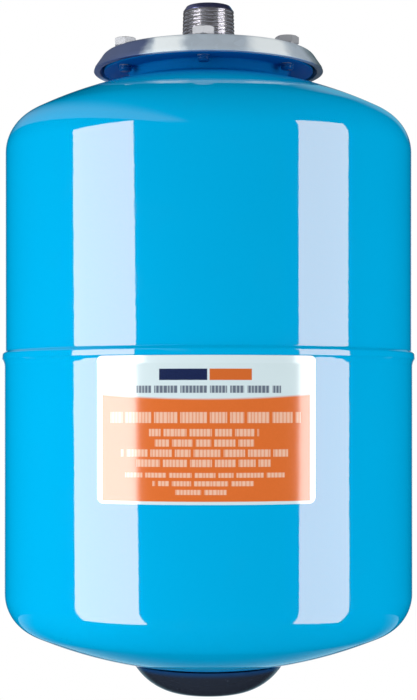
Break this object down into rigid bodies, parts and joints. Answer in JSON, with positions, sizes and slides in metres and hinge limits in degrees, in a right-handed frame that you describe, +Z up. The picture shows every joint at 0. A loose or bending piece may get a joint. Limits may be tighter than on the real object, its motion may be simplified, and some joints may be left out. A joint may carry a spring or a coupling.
{
  "type": "accumulator tank",
  "caption": "Steel accumulator tank for a water line: two dished shells, a bolted cover with a threaded nipple, a rubber bladder and an air valve under a black cover.",
  "frame": {"origin": "on the tank's axis where the nipple leaves the cover's flat top", "axes": "+Z up along the nipple, the way the tank hangs under a pipe; -Y is the front, where the label is"},
  "size_m": [0.2029, 0.2028, 0.3387],
  "materials": {
    "blue_paint": "smooth gloss sky-blue paint over drawn steel sheet",
    "galvanised_steel": "pale galvanised plate, satin with a soft sheen",
    "nipple_steel": "bright turned steel",
    "bolt_steel": "bright zinc plate",
    "ring_steel": "plain zinc plate",
    "spring_steel": "drawn wire",
    "bladder_rubber": "matt moulded rubber",
    "seal_rubber": "smooth moulded rubber",
    "valve_brass": "turned brass",
    "dust_cap_plastic": "moulded black plastic",
    "cover_plastic": "glossy black moulded plastic",
    "label_paper": null
  },
  "bodies": {
    "tank": {"upper_shell": "blue_paint", "lower_shell": "blue_paint", "seam_weld": "blue_paint", "clamp_ring": "ring_steel", "cover_flange": "galvanised_steel", "inlet_nipple": "nipple_steel", "nipple_weld": "galvanised_steel", "flange_bolts": "bolt_steel", "bladder": "bladder_rubber", "air_valve_body": "valve_brass", "valve_gasket": "seal_rubber", "valve_washer": "bolt_steel", "valve_nut": "valve_brass", "valve_core": "valve_brass", "valve_core_seal": "seal_rubber", "valve_spring": "spring_steel", "dust_cap": "dust_cap_plastic", "dust_cap_seal": "seal_rubber", "rating_label": "label_paper"},
    "cover": {"valve_cover": "cover_plastic"},
    "pin": {"valve_pin": "valve_brass", "valve_pin_seal": "seal_rubber"}
  },
  "joints": [
    {"name": "cover_pull", "type": "slide", "parent": "tank", "child": "cover", "axis": [0, 0, -1], "range_m": [0, 0.016]},
    {"name": "pin_press", "type": "slide", "parent": "tank", "child": "pin", "axis": [0, 0, 1], "range_m": [0, 0.001], "stiffness_N_per_m": 500, "springref_m": -0.003, "deforming": ["valve_spring"]}
  ]
}
